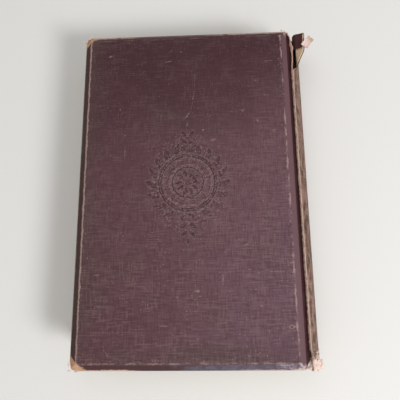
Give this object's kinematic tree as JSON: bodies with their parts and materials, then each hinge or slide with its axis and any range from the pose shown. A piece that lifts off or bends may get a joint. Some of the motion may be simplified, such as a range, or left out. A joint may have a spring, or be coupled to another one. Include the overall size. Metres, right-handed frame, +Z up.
{
  "type": "hardback book",
  "caption": "Old cloth-covered hardback book with bevelled boards, a rounded spine, a blind-stamped ornament on the back cover and two covers that open.",
  "frame": {"origin": "middle of the flat underside of the front cover, on which the book lies", "axes": "+X from the fore-edge to the spine, +Y from the tail to the head, +Z up through the back cover"},
  "size_m": [0.1413, 0.1977, 0.0291],
  "materials": {
    "book_cloth": "worn dark red linen-grain book cloth",
    "board": "rough tan pasteboard",
    "page_paper": "yellowed page edges",
    "end_paper": "aged cream endpaper",
    "inlay_paper": "tan spine inlay paper",
    "lining_cloth": "glued open-weave lining"
  },
  "bodies": {
    "book_body": {"text_block": "page_paper", "spine_lining": "lining_cloth", "spine_inlay": "inlay_paper", "spine_cloth": "book_cloth", "back_free_endpaper": "end_paper", "front_free_endpaper": "end_paper"},
    "back_cover": {"back_board": "board", "back_cover_cloth": "book_cloth", "back_pastedown": "end_paper"},
    "front_cover": {"front_board": "board", "front_cover_cloth": "book_cloth", "front_pastedown": "end_paper"}
  },
  "joints": [
    {"name": "back_joint", "type": "hinge", "parent": "book_body", "child": "back_cover", "pos_m": [0.0629, 0, 0.0278], "axis": [0, 1, 0], "range_deg": [0, 180]},
    {"name": "front_joint", "type": "hinge", "parent": "book_body", "child": "front_cover", "pos_m": [0.0629, 0, 0.0013], "axis": [0, -1, 0], "range_deg": [0, 180]}
  ]
}
